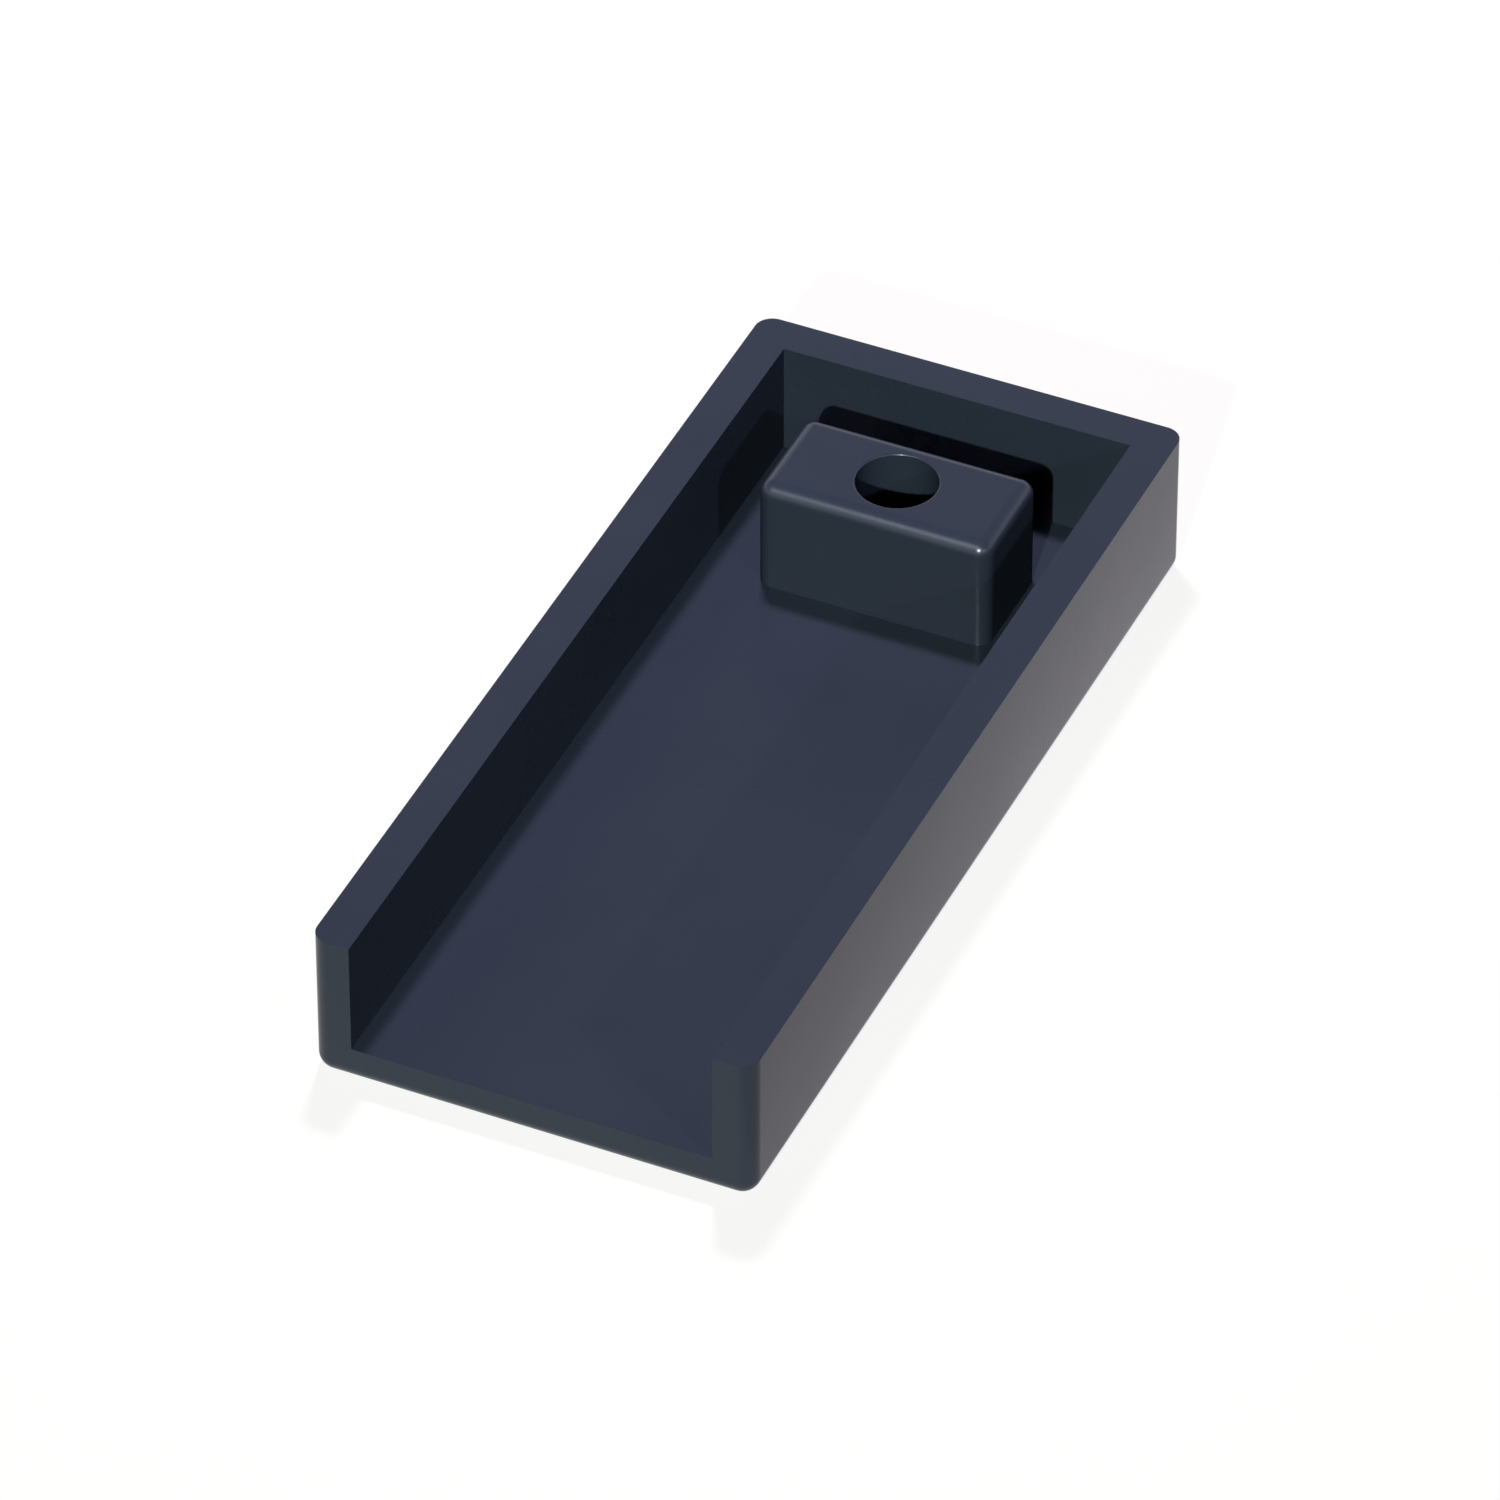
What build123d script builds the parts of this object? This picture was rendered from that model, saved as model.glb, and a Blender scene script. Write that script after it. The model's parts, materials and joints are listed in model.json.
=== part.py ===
"""Profile end cap: one moulded tray, open at one end, with a screw block near its closed end.

The cap is seen with its recess upwards. X runs across it, +Y points to the closed end, and +Z points
from the flat outer face up to the rim. The origin is the centre of the outer face. All sizes are in
millimetres.
"""

import os

from build123d import *

# Tray
width = 22.0
length = 50.0
height = 8.0
side_wall = 2.0
end_wall = 2.0
floor_thickness = 2.0
outer_radius = 0.9  # rounds the four upright corners and every edge of the outer face

# Screw block, which stands on the floor and ends flush with the rim
block_width = 12.0
block_length = 6.0
block_to_end_wall = 4.0  # open space behind the block
block_radius = 0.75  # rounds its four upright corners and its top edges

# Screw hole, straight down through the block and the floor
hole_diameter = 4.0
hole_rim_radius = 0.1  # breaks the sharp rim on top of the block

# Worked out from the sizes above
closed_end = length / 2
open_end = -length / 2
end_wall_face = closed_end - end_wall
block_centre = end_wall_face - block_to_end_wall - block_length / 2
block_height = height - floor_thickness
recess_width = width - 2 * side_wall
recess_length = end_wall_face - open_end

# How far a cutting solid runs past the face that it opens, so that no skin is left there
overrun = 1.0

# Two heights or radii that differ by less than this are the same
closeness = 0.001


def standing_box(size_x, size_y, size_z):
    """A box that is centred in X and Y and stands on Z = 0."""
    return Box(size_x, size_y, size_z, align=(Align.CENTER, Align.CENTER, Align.MIN))


def tray():
    """The outer form with its rounded edges, hollowed by a square-cornered recess that leaves one end open."""
    body = standing_box(width, length, height)
    upright_edges = body.edges().filter_by(Axis.Z)
    outer_face_edges = body.faces().sort_by(Axis.Z)[0].edges()
    body = fillet(upright_edges + outer_face_edges, outer_radius)

    recess = standing_box(recess_width, recess_length + overrun, height - floor_thickness + overrun)
    recess_centre = end_wall_face - (recess_length + overrun) / 2
    return body - Pos(0, recess_centre, floor_thickness) * recess


def screw_block():
    """The block with soft upright corners and top edges, and a square foot where it meets the floor."""
    block = standing_box(block_width, block_length, block_height)
    upright_edges = block.edges().filter_by(Axis.Z)
    top_edges = block.faces().sort_by(Axis.Z)[-1].edges()
    block = fillet(upright_edges + top_edges, block_radius)
    return Pos(0, block_centre, floor_thickness) * block


def is_hole_rim(edge):
    """True for the full circle at rim height, and for none of the small corner arcs."""
    at_rim_height = abs(edge.center().Z - height) < closeness
    return at_rim_height and abs(edge.radius - hole_diameter / 2) < closeness


def drill_screw_hole(body):
    """Cuts the hole through block and floor, and breaks its rim on top of the block."""
    depth = height + 2 * overrun
    drill = Cylinder(hole_diameter / 2, depth, align=(Align.CENTER, Align.CENTER, Align.MIN))
    body = body - Pos(0, block_centre, -overrun) * drill
    rim = body.edges().filter_by(GeomType.CIRCLE).filter_by(is_hole_rim)
    return fillet(rim, hole_rim_radius)


end_cap = drill_screw_hole(tray() + screw_block())
end_cap.label = "end_cap"

os.makedirs("parts", exist_ok=True)
export_step(end_cap, "parts/end_cap.step")

volume = end_cap.volume
print(f"end_cap: {len(end_cap.solids())} solid, {volume:.1f} mm3")
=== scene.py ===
# %% [markdown]
# A moulded end cap for a flat profile
#
# The real cap is one injection moulding: a shallow tray, open at one end, with a screw block near its
# closed end. Its form and sizes come from a CAD model, which is loaded here as a fixed frame. This
# lesson dresses it: camera, floor, lamps, the plastic, and one clean mesh with true rounded edges.

# %% Load the CAD model
import json
import math

import bmesh
import bpy
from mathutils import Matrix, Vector
from mathutils.bvhtree import BVHTree


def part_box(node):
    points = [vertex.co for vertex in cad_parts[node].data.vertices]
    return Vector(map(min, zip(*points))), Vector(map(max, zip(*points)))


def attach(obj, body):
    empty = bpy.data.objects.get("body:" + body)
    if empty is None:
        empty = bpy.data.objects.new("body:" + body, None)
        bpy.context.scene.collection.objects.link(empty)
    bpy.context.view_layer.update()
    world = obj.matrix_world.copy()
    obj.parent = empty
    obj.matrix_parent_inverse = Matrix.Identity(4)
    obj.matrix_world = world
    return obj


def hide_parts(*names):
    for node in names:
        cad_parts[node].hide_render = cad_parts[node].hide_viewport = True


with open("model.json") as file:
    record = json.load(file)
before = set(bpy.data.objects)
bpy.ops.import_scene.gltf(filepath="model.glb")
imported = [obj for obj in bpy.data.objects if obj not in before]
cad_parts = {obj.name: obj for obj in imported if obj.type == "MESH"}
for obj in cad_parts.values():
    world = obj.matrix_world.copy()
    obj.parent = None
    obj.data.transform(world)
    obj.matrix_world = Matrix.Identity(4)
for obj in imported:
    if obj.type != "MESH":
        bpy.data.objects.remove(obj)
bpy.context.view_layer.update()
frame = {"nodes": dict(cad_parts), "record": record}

# %% [markdown]
# The camera
#
# The cap was photographed with a long lens, which is why its far end looks hardly smaller than its
# near end. A camera on a sphere round the cap is the easiest to think about: an angle round it, an
# angle above it and a distance. The lens then only decides how large the cap is in the picture.

# %% Camera
CAMERA_AZIMUTH = 24.28  # degrees, to the right of the open end
CAMERA_ELEVATION = 40.18  # degrees above the floor
CAMERA_DISTANCE = 0.555
CAMERA_LENS = 285.8  # mm, on Blender's usual 36 mm sensor
CAMERA_AIM = Vector((-0.00053, 0.00027, 0.00328))
NEAREST_SEEN, FARTHEST_SEEN = 0.01, 20.0


def direction(azimuth, elevation):
    """The way from the cap to a point at these angles: 0, 0 is straight out of the open end."""
    turn, rise = math.radians(azimuth), math.radians(elevation)
    return Vector((math.sin(turn) * math.cos(rise), -math.cos(turn) * math.cos(rise), math.sin(rise)))


def look_at(thing, aim):
    """Turns a camera or lamp so that it faces the point."""
    thing.rotation_euler = (aim - thing.location).to_track_quat("-Z", "Y").to_euler()


camera_data = bpy.data.cameras.new("camera")
camera_data.lens = CAMERA_LENS
camera_data.clip_start, camera_data.clip_end = NEAREST_SEEN, FARTHEST_SEEN
camera = bpy.data.objects.new("camera", camera_data)
camera.location = CAMERA_AIM + CAMERA_DISTANCE * direction(CAMERA_AZIMUTH, CAMERA_ELEVATION)
look_at(camera, CAMERA_AIM)
bpy.context.scene.collection.objects.link(camera)
bpy.context.scene.camera = camera
bpy.context.scene.view_settings.view_transform = "Standard"
print("camera at", [round(value, 4) for value in camera.location])

# %% [markdown]
# Nodes and colours
#
# Three small helpers serve every material. One adds a node with its settings and links. One turns the
# colour that a person would pick on a screen (sRGB, written as hex) into the linear values that a
# renderer works with. The last one starts a new material with no nodes in it.

# %% Node and colour helpers
MIX_FIRST, MIX_SECOND, MIX_RESULT = 6, 7, 2  # a Mix node's colour sockets: their names aren't unique
MULTIPLY = {"operation": "MULTIPLY"}


def add_node(tree, kind, settings=None, inputs=None):
    """Adds a node. An input is a plain value, an output socket, or a node whose first output feeds it."""
    node = tree.nodes.new(kind)
    for name, value in (settings or {}).items():
        setattr(node, name, value)
    for name, value in (inputs or {}).items():
        if isinstance(value, bpy.types.Node):
            value = value.outputs[0]
        if isinstance(value, bpy.types.NodeSocket):
            tree.links.new(value, node.inputs[name])
        else:
            node.inputs[name].default_value = value
    return node


def hex_colour(text):
    """Linear RGBA of an sRGB hex colour such as #33384a."""
    channels = [int(text[i:i + 2], 16) / 255 for i in (1, 3, 5)]
    linear = [c / 12.92 if c <= 0.04045 else ((c + 0.055) / 1.055) ** 2.4 for c in channels]
    return (*linear, 1.0)


def new_material(name):
    """A material with no nodes yet, and its node tree."""
    material = bpy.data.materials.new(name)
    material.use_nodes = True
    material.node_tree.nodes.clear()
    return material, material.node_tree


print("#808080 is", round(hex_colour("#808080")[0], 3), "in linear light")

# %% [markdown]
# The floor
#
# A product is shot on a white sweep so that the background drops out. A real white floor would also
# throw much light up at the cap's sides. Here the floor is a matt grey that takes the cap's shadow, and
# an even white is laid over it for the camera. The cap's satin sides mirror the floor close by, and there
# the floor carries a glow, a value of its own that is painted light: it grows from the open end to the
# closed one, falls off beside the cap and is tinted, so that it paints a sheen on the cap's sides. The
# floor that the cap covers has no glow, a painted shade which keeps the screw hole black at its bottom.

# %% Floor
FLOOR_WIDTH = 12.0
FLOOR_GAP = 0.00002  # keeps the floor just clear of the cap's outer face
MATT_SHARE = 0.2  # what the floor's own matt surface gives back
EVEN_WHITE = 0.84  # what is laid over it for the camera
# Painted light: the glow that glossy surfaces see grows towards the closed end, falls off beside the cap
# and is tinted, which paints a sheen on the cap's sides.
GLOW_FRONT, GLOW_BACK = 0.71, 1.22  # what glossy surfaces see there, before and behind the cap
GLOW_REACH = 0.035  # metres from the cap's middle to the places where the glow stops changing
SIDE_NEAR, SIDE_FAR = 0.011, 0.015  # metres right of the middle: beside the cap the glow falls off
SIDE_FADE = 0.66  # what is left of it beyond that
# The glow's tint paints a warmer sheen on the cap's right side.
GLOW_COOL, GLOW_WARM = "#fbfeff", "#fffafe"  # its tint before the cap, and at its right
# Painted shade: where the cap covers the floor, the floor's glow is left out, which keeps the screw hole
# black.
COVERED_X, COVERED_Y = 0.009, 0.023  # metres from the middle, to either side: floor that the cap covers


def seen_by(tree, kinds):
    """What is 1 for rays of these kinds and 0 for all others."""
    ray = add_node(tree, "ShaderNodeLightPath")
    seen = ray.outputs[kinds[0]]
    for kind in kinds[1:]:
        seen = add_node(tree, "ShaderNodeMath", {"operation": "MAXIMUM"}, {0: seen, 1: ray.outputs[kind]})
    return seen


def open_floor(tree, x, y):
    # Painted shade: this mask leaves the floor's glow out under the cap.
    """What is 0 where the cap covers the floor and 1 elsewhere."""
    near_x = add_node(tree, "ShaderNodeMath", {"operation": "COMPARE"}, {0: x, 1: 0.0, 2: COVERED_X})
    near_y = add_node(tree, "ShaderNodeMath", {"operation": "COMPARE"}, {0: y, 1: 0.0, 2: COVERED_Y})
    covered = add_node(tree, "ShaderNodeMath", MULTIPLY, {0: near_x, 1: near_y})
    return add_node(tree, "ShaderNodeMath", {"operation": "SUBTRACT"}, {0: 1.0, 1: covered})


def painted_glow_by_place(tree):
    # Painted light: this glow paints the sheen on the cap's sides, lighter towards the closed end, weaker
    # beside the cap and tinted at its right.
    """Strength and tint of the floor as a glossy surface sees it."""
    place = add_node(tree, "ShaderNodeTexCoord").outputs["Object"]
    spot = add_node(tree, "ShaderNodeSeparateXYZ", inputs={"Vector": place})
    x, y = spot.outputs["X"], spot.outputs["Y"]
    along = add_node(tree, "ShaderNodeMapRange",
                     inputs={"Value": y, "From Min": -GLOW_REACH, "From Max": GLOW_REACH,
                             "To Min": GLOW_FRONT, "To Max": GLOW_BACK})
    beside = add_node(tree, "ShaderNodeMapRange",
                      inputs={"Value": x, "From Min": SIDE_NEAR, "From Max": SIDE_FAR,
                              "To Min": 1.0, "To Max": SIDE_FADE})
    strength = add_node(tree, "ShaderNodeMath", MULTIPLY, {0: along, 1: beside})
    # Painted shade: the glow is left out where the cap covers the floor.
    strength = add_node(tree, "ShaderNodeMath", MULTIPLY, {0: strength, 1: open_floor(tree, x, y)})
    at_right = add_node(tree, "ShaderNodeMath", {"operation": "GREATER_THAN"}, {0: x, 1: SIDE_NEAR})
    tint = add_node(tree, "ShaderNodeMix", {"data_type": "RGBA"},
                    {"Factor": at_right, MIX_FIRST: hex_colour(GLOW_COOL),
                     MIX_SECOND: hex_colour(GLOW_WARM)})
    return strength, tint.outputs[MIX_RESULT]


def white_sweep():
    """Matt grey, with an even white for the camera and a glow for glossy surfaces."""
    material, tree = new_material("white_sweep")
    matt = add_node(tree, "ShaderNodeBsdfDiffuse", inputs={"Color": (MATT_SHARE,) * 3 + (1,)})
    white = add_node(tree, "ShaderNodeMath", MULTIPLY,
                     {0: seen_by(tree, ("Is Camera Ray",)), 1: EVEN_WHITE})
    even = add_node(tree, "ShaderNodeEmission", inputs={"Strength": white})
    # Painted light: the glow paints a sheen on the cap's sides, with painted shade where the cap covers
    # the floor.
    strength, tint = painted_glow_by_place(tree)
    mirrored = seen_by(tree, ("Is Glossy Ray", "Is Transmission Ray"))
    mirrored = add_node(tree, "ShaderNodeMath", MULTIPLY, {0: mirrored, 1: strength})
    glow = add_node(tree, "ShaderNodeEmission", inputs={"Color": tint, "Strength": mirrored})
    laid_over = add_node(tree, "ShaderNodeAddShader", inputs={0: even, 1: glow})
    both = add_node(tree, "ShaderNodeAddShader", inputs={0: matt, 1: laid_over})
    add_node(tree, "ShaderNodeOutputMaterial", inputs={"Surface": both})
    return material


bpy.ops.object.select_all(action="DESELECT")
bpy.ops.mesh.primitive_plane_add(size=FLOOR_WIDTH, location=(0, 0, -FLOOR_GAP))
floor = bpy.context.object
floor.name = "floor"
floor.data.materials.append(white_sweep())
print("floor is", FLOOR_WIDTH, "m wide")

# %% [markdown]
# The light
#
# A small product table needs few lamps. The key stands in front, a little to the right. It throws the
# block's crisp shadow on the end wall. The top lamp stands close above the closed end, so that the side
# walls and the block throw soft narrow shadows on the recess floor. A weak lamp at the right reaches the
# inner left wall over the cap's right side.
#
# Two lamps are there for the gloss alone. The window draws the bright line along the block's front edge,
# and the glint puts the spark on its corner. Mirrored once more in the recess floor, the glint also draws
# the fine line down the block's upright edge. No other lamp is mirrored twice, which keeps the gaps round
# the block as dark as a narrow gap in a dark part looks.
#
# Each lamp's level says how bright a white card facing it would be, and its power follows from its
# distance.

# %% Lamps
LAMPS = {
    "key": {
        "azimuth": 12, "elevation": 30.8, "distance": 0.60, "size": 0.012, "level": 0.61,
        "colour": (0.91, 1.0, 0.78),
    },
    "glint": {
        "azimuth": 15.5, "elevation": 33, "distance": 0.60, "size": 0.04, "level": 1.3,
        "colour": (0.93, 0.95, 1.0), "matt": False, "bounces": 1,
    },
    "window": {
        "azimuth": -17, "elevation": 50, "distance": 0.20, "size": 0.09, "level": 0.34,
        "colour": (0.95, 0.95, 1.0), "matt": False,
    },
    "top": {
        "azimuth": -151.9, "elevation": 70.7, "distance": 0.199, "size": 0.018, "level": 0.68,
        "colour": (1.0, 0.87, 0.89), "gloss": False,
    },
    "side": {
        "azimuth": 57, "elevation": 28.5, "distance": 0.60, "size": 0.02, "level": 0.12,
        "colour": (0.95, 0.9, 1.0),
    },
}


def add_lamp(name, azimuth, elevation, distance, size, level, colour,
             matt=True, gloss=True, bounces=0):
    """A square lamp that faces the cap. It can light the matt or the glossy side of a surface alone."""
    data = bpy.data.lights.new(name, "AREA")
    data.size = size
    data.color = colour
    data.energy = level * (math.pi * distance) ** 2
    data.cycles.max_bounces = bounces
    lamp = bpy.data.objects.new(name, data)
    lamp.location = distance * direction(azimuth, elevation)
    look_at(lamp, Vector((0, 0, 0)))
    lamp.visible_camera = False
    lamp.visible_diffuse = matt
    lamp.visible_glossy = gloss
    bpy.context.scene.collection.objects.link(lamp)
    return data.energy


for lamp_name, settings in LAMPS.items():
    print(lamp_name, "lamp:", round(add_lamp(lamp_name, **settings), 2), "W")

# %% [markdown]
# The room
#
# Glossy surfaces show a room whose walls are white up to about 22 degrees above the floor and fade to
# black overhead. So a pale line runs along the block's back and side edges, while all that looks up has
# only a faint veil of gloss. Matt surfaces get none of this light, which keeps the gaps round the block
# dark.

# %% Room
ROOM_BY_HEIGHT = ((0.0, 1.0), (0.38, 1.0), (0.50, 0.30), (0.62, 0.10), (0.75, 0.0))  # sine, strength
ROOM_SEEN_BY = ("Is Camera Ray", "Is Glossy Ray", "Is Transmission Ray")

world = bpy.data.worlds.new("room")
bpy.context.scene.world = world
world.use_nodes = True
room_tree = world.node_tree
room_tree.nodes.clear()
way = add_node(room_tree, "ShaderNodeTexCoord").outputs["Generated"]
height = add_node(room_tree, "ShaderNodeSeparateXYZ", inputs={"Vector": way}).outputs["Z"]
fade = add_node(room_tree, "ShaderNodeValToRGB", inputs={"Fac": height})
stops = fade.color_ramp.elements
while len(stops) < len(ROOM_BY_HEIGHT):
    stops.new(0.5)  # any place will do, because each stop is placed below
for stop, (place, strength) in zip(stops, ROOM_BY_HEIGHT):
    stop.position = place
    stop.color = (strength, strength, strength, 1)
level = add_node(room_tree, "ShaderNodeMath", MULTIPLY,
                 {0: fade.outputs["Color"], 1: seen_by(room_tree, ROOM_SEEN_BY)})
room = add_node(room_tree, "ShaderNodeBackground", inputs={"Color": (1, 1, 1, 1), "Strength": level})
add_node(room_tree, "ShaderNodeOutputWorld", inputs={"Surface": room})
print("the room fades in", len(stops), "stops")

# %% [markdown]
# The plastic
#
# The cap is a hard plastic such as ABS, coloured dark slate blue in the mass and moulded in a finely
# spark-eroded tool. The eye gets a satin surface from that: no visible grain at arm's length, soft
# highlights on the rounded edges, and a pale sheen where a side is seen at a flat angle.

# %% Moulded plastic
SLATE_DARK, SLATE_LIGHT = "#333b4f", "#373f53"
SATIN_LOW, SATIN_HIGH = 0.26, 0.30  # roughness, where the melt flowed well and less well
FLOW_SIZE = 7e-3  # slow clouds of colour and gloss, from the melt as it filled the tool
FLOW_LOW, FLOW_HIGH = 0.3, 0.7  # the noise that draws the clouds seldom goes beyond these
GRAIN_SIZE = 0.12e-3  # real spark-eroded grain is half of this: drawn coarser, so that it can show
GRAIN_DEPTH = 0.6e-6
GRAIN_STRENGTH = 0.3
PLASTIC_IOR = 1.38  # a little under the usual 1.5, as the fine grain breaks up some of the gloss


def moulded_plastic():
    """Satin ABS: a mass colour with faint flow clouds, and a very fine grain."""
    material, tree = new_material("moulded_abs_slate_blue")
    place = add_node(tree, "ShaderNodeTexCoord").outputs["Object"]
    flow = add_node(tree, "ShaderNodeTexNoise",
                    inputs={"Vector": place, "Scale": 1 / FLOW_SIZE, "Detail": 3.0, "Roughness": 0.5})
    colour = add_node(tree, "ShaderNodeMix", {"data_type": "RGBA"},
                      {"Factor": flow.outputs["Fac"], MIX_FIRST: hex_colour(SLATE_DARK),
                       MIX_SECOND: hex_colour(SLATE_LIGHT)})
    satin = add_node(tree, "ShaderNodeMapRange",
                     inputs={"Value": flow.outputs["Fac"], "From Min": FLOW_LOW, "From Max": FLOW_HIGH,
                             "To Min": SATIN_LOW, "To Max": SATIN_HIGH})
    grain = add_node(tree, "ShaderNodeTexNoise",
                     inputs={"Vector": place, "Scale": 1 / GRAIN_SIZE, "Detail": 2.0, "Roughness": 0.6})
    relief = add_node(tree, "ShaderNodeBump",
                      inputs={"Height": grain.outputs["Fac"], "Strength": GRAIN_STRENGTH,
                              "Distance": GRAIN_DEPTH})
    plastic = add_node(tree, "ShaderNodeBsdfPrincipled",
                       inputs={"Base Color": colour.outputs[MIX_RESULT], "Roughness": satin,
                               "IOR": PLASTIC_IOR, "Normal": relief})
    add_node(tree, "ShaderNodeOutputMaterial", inputs={"Surface": plastic})
    return material


cap_plastic = moulded_plastic()
print(cap_plastic.name, "has", len(cap_plastic.node_tree.nodes), "nodes")

# %% [markdown]
# The form
#
# The CAD model's own mesh is made of flat facets, which would show as steps in the highlights of the
# rounded edges. So the cap is modelled again at the same size: a slab, cut lines on its top face, walls
# and block pulled up from it, the hole cut through, and one bevel for all the edges. The overall size
# comes from the CAD model, and so do the height of the recess floor and the hole's place and radius.

# %% Sizes
low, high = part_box("end_cap")
mounts = {mount["name"]: mount for mount in frame["record"]["mounts"]}
SIDE_WALL = 0.002
END_WALL = 0.002
FLOOR_TOP = mounts["recess_floor"]["pos_m"][2]
RIM = high.z
BLOCK_WIDTH = 0.012
BLOCK_LENGTH = 0.006
HOLE_CENTRE = Vector(mounts["screw_hole"]["pos_m"])
HOLE_RADIUS = mounts["screw_hole"]["dims"]["r_mm"] / 1000
OUTER_ROUND = 0.9e-3
BLOCK_ROUND = 0.75e-3
HOLE_RIM_ROUND = 0.1e-3
TINY = 1e-6  # two places closer than this are the same

inner_side = high.x - SIDE_WALL
inner_end = high.y - END_WALL
block_side = BLOCK_WIDTH / 2
block_front = HOLE_CENTRE.y - BLOCK_LENGTH / 2
block_back = HOLE_CENTRE.y + BLOCK_LENGTH / 2
print("recess", round(2000 * inner_side, 2), "mm wide, floor at", round(1000 * FLOOR_TOP, 2), "mm")

# %% Slab
bpy.ops.object.select_all(action="DESELECT")
bpy.ops.mesh.primitive_cube_add(size=1, location=(0, 0, FLOOR_TOP / 2))
cap = bpy.context.object
cap.name = "cap"
cap.scale = (high.x - low.x, high.y - low.y, FLOOR_TOP)
bpy.ops.object.transform_apply(location=True, rotation=True, scale=True)
print("slab:", len(cap.data.polygons), "faces")

# %% [markdown]
# Walls and block
#
# Walls and block are one mass with the floor, so the mesh grows out of it too, and nothing is stuck on.
# Straight cuts along the inner faces divide the floor into a grid. Each field is picked by its place,
# and the fields under the walls and the block are pulled up to the rim. Two more cuts cross at the
# hole's middle, so that the faces round the hole, and later its rounded rim, are even on all sides.


# %% Picking faces by their place
def select_faces(test):
    """Selects the faces whose middle passes the test, and no others."""
    mesh = bmesh.from_edit_mesh(cap.data)
    for face in mesh.faces:
        face.select_set(test(face.calc_center_median(), face.normal))
    mesh.select_flush_mode()
    bmesh.update_edit_mesh(cap.data)


def on_floor(middle, normal):
    """True for every face that looks up at floor height."""
    return normal.z > 0.9 and abs(middle.z - FLOOR_TOP) < TINY


def under_wall(middle, normal):
    """True where a wall will stand."""
    return on_floor(middle, normal) and (abs(middle.x) > inner_side or middle.y > inner_end)


def under_block(middle, normal):
    """True where the block will stand."""
    inside = abs(middle.x) < block_side and block_front < middle.y < block_back
    return on_floor(middle, normal) and inside


# %% Cut lines, then walls and block pulled up
FLAT_ANGLE = math.radians(1)  # neighbours that turn less than this are one flat face


def cut_floor(place, across):
    """Cuts all the floor's faces along a line through the place."""
    select_faces(on_floor)
    bpy.ops.mesh.bisect(plane_co=place, plane_no=across, threshold=TINY)


bpy.ops.object.mode_set(mode="EDIT")
bpy.ops.mesh.select_mode(type="FACE")
for x in (-inner_side, -block_side, block_side, inner_side):
    cut_floor((x, 0, 0), (1, 0, 0))
for y in (block_front, block_back, inner_end):
    cut_floor((0, y, 0), (0, 1, 0))
for footprint in (under_wall, under_block):
    select_faces(footprint)
    bpy.ops.mesh.extrude_region_move(TRANSFORM_OT_translate={"value": (0, 0, RIM - FLOOR_TOP)})
bpy.ops.mesh.select_all(action="SELECT")
bpy.ops.mesh.dissolve_limited(angle_limit=FLAT_ANGLE)
bpy.ops.mesh.normals_make_consistent(inside=False)
for across in ((1, 0, 0), (0, 1, 0)):
    bpy.ops.mesh.select_all(action="SELECT")
    bpy.ops.mesh.bisect(plane_co=HOLE_CENTRE, plane_no=across, threshold=TINY)
bpy.ops.object.mode_set(mode="OBJECT")
print("walls and block up:", len(cap.data.polygons), "faces")

# %% [markdown]
# The screw hole
#
# A core pin in the tool leaves the real hole. Here a cylinder with many sides stands where the pin
# would, and is taken away from the cap.

# %% The hole
HOLE_SIDES = 128
DRILL_LENGTH = 3 * RIM  # well past the cap on both sides

bpy.ops.object.select_all(action="DESELECT")
bpy.ops.mesh.primitive_cylinder_add(vertices=HOLE_SIDES, radius=HOLE_RADIUS, depth=DRILL_LENGTH,
                                    location=(HOLE_CENTRE.x, HOLE_CENTRE.y, RIM / 2))
drill = bpy.context.object
bpy.ops.object.select_all(action="DESELECT")
cap.select_set(True)
bpy.context.view_layer.objects.active = cap
cut = cap.modifiers.new("hole", "BOOLEAN")
cut.operation = "DIFFERENCE"
cut.solver = "EXACT"
cut.object = drill
bpy.ops.object.modifier_apply(modifier=cut.name)
bpy.data.objects.remove(drill)
print("hole cut:", len(cap.data.polygons), "faces")

# %% [markdown]
# Rounded edges
#
# A moulded part has no knife edges, and its rounds are what catches the light. The outer corners, the
# block and the hole's rim have three different radii, so each edge carries a weight, and one bevel
# rounds them all at once. That way they also meet cleanly in the block's corners. Weighted normals then
# keep the large flat faces flat beside the rounds.


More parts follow.
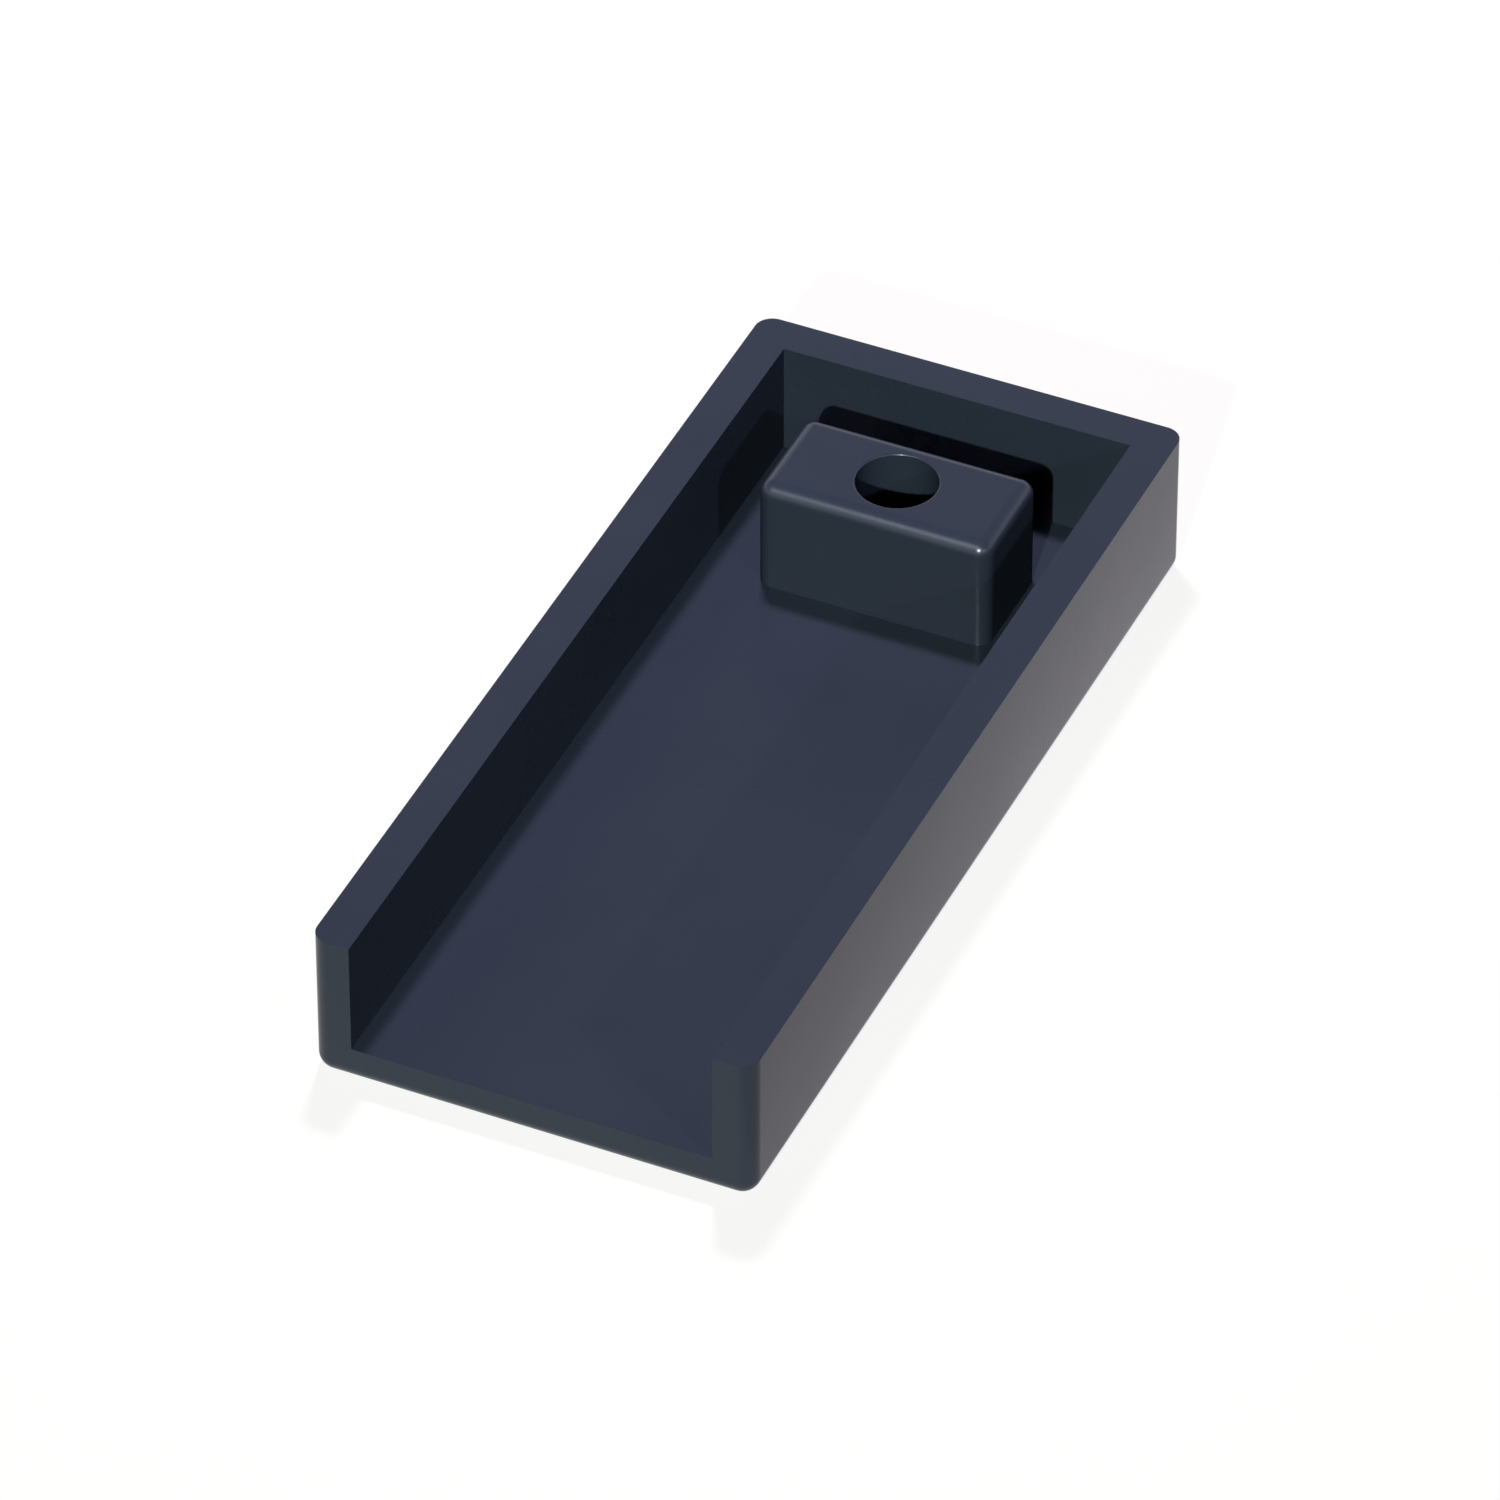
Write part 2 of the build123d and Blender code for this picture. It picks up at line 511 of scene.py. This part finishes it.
# %% The radius of each edge
def edge_round(start, end):
    """The radius of the edge between two corners, in metres."""
    middle = (start + end) / 2
    upright = abs(start.z - end.z) > TINY
    at_side = abs(abs(middle.x) - high.x) < TINY
    at_end = abs(abs(middle.y) - high.y) < TINY
    if upright and at_side and at_end:
        return OUTER_ROUND
    if max(start.z, end.z) < TINY and (at_side or at_end):
        return OUTER_ROUND
    on_top = min(start.z, end.z) > RIM - TINY
    if on_top and (middle.xy - HOLE_CENTRE.xy).length < HOLE_RADIUS + TINY:
        return HOLE_RIM_ROUND
    at_block_side = abs(abs(middle.x) - block_side) < TINY
    at_block_end = min(abs(middle.y - block_front), abs(middle.y - block_back)) < TINY
    if upright and at_block_side and at_block_end:
        return BLOCK_ROUND
    if on_top and at_block_side and block_front < middle.y < block_back:
        return BLOCK_ROUND
    if on_top and at_block_end and abs(middle.x) < block_side:
        return BLOCK_ROUND
    return 0.0


weights = cap.data.attributes.new("bevel_weight_edge", "FLOAT", "EDGE")
counts = {}
for edge in cap.data.edges:
    radius = edge_round(*(cap.data.vertices[i].co for i in edge.vertices))
    weights.data[edge.index].value = radius / OUTER_ROUND
    radius_mm = round(1000 * radius, 2)
    counts[radius_mm] = counts.get(radius_mm, 0) + 1
print("edges by radius in mm:", counts)

# %% Rounded edges
ROUND_STEPS = 12  # faces across each rounded edge
SHARP_ANGLE = math.radians(30)  # edges that turn more than this stay sharp
FLAT_FACES_FIRST = 100  # how far large faces outweigh small ones in the normals they share

bevel = cap.modifiers.new("rounds", "BEVEL")
bevel.width = OUTER_ROUND
bevel.limit_method = "WEIGHT"
bevel.segments = ROUND_STEPS
bevel.use_clamp_overlap = False
bpy.ops.object.modifier_apply(modifier=bevel.name)
bpy.ops.object.shade_smooth_by_angle(angle=SHARP_ANGLE)
flats = cap.modifiers.new("flat_faces_stay_flat", "WEIGHTED_NORMAL")
flats.keep_sharp = True
flats.weight = FLAT_FACES_FIRST
bpy.ops.object.modifier_apply(modifier=flats.name)
print("rounded:", len(cap.data.polygons), "faces")

# %% [markdown]
# Check and dress
#
# The new mesh has to be the same cap. So each corner of the CAD mesh is measured against it, and the
# largest gap should be a few thousandths of a millimetre. Then the cap gets its plastic, is hung on the
# root body, and the CAD part is hidden.

# %% How well it fits the CAD model
cad_mesh = frame["nodes"]["end_cap"].data
cap.data.calc_loop_triangles()
cap_tree = BVHTree.FromPolygons([vertex.co for vertex in cap.data.vertices],
                                [triangle.vertices for triangle in cap.data.loop_triangles])
gaps = [cap_tree.find_nearest(vertex.co)[3] for vertex in cad_mesh.vertices]
print("largest gap to the CAD model:", round(1000 * max(gaps), 4), "mm")

# %% Dress the cap
cap.data.materials.clear()
cap.data.materials.append(cap_plastic)
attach(cap, "root")
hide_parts("end_cap")
print(cap.name, "wears", cap.data.materials[0].name)
